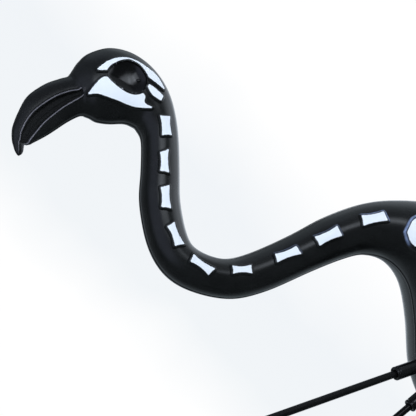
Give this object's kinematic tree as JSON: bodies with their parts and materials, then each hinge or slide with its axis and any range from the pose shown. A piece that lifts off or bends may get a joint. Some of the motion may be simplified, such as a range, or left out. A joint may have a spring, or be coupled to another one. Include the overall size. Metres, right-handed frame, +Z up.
{
  "type": "flamingo lawn ornament",
  "caption": "Flamingo garden ornament in a feeding pose: moulded body with raised skeleton bones and a low S-shaped neck, on bare rods set in the ground.",
  "frame": {"origin": "on the ground, midway between the feet of the rods, in the bird's middle plane", "axes": "+Z up, +X along the bird from its beak to its tail, +Y to the side of its rear leg"},
  "size_m": [0.66, 0.1362, 0.618],
  "materials": {
    "black_plastic": "satin blow-moulded plastic, with the bones' tops painted white",
    "black_sleeve": "satin",
    "black_steel": "thin black enamel on round steel rod"
  },
  "bodies": {
    "root": {"flamingo_body": "black_plastic", "front_leg_sleeve": "black_sleeve", "rear_leg_sleeve": "black_sleeve", "front_leg_rod": "black_steel", "rear_leg_rod": "black_steel"}
  },
  "joints": []
}
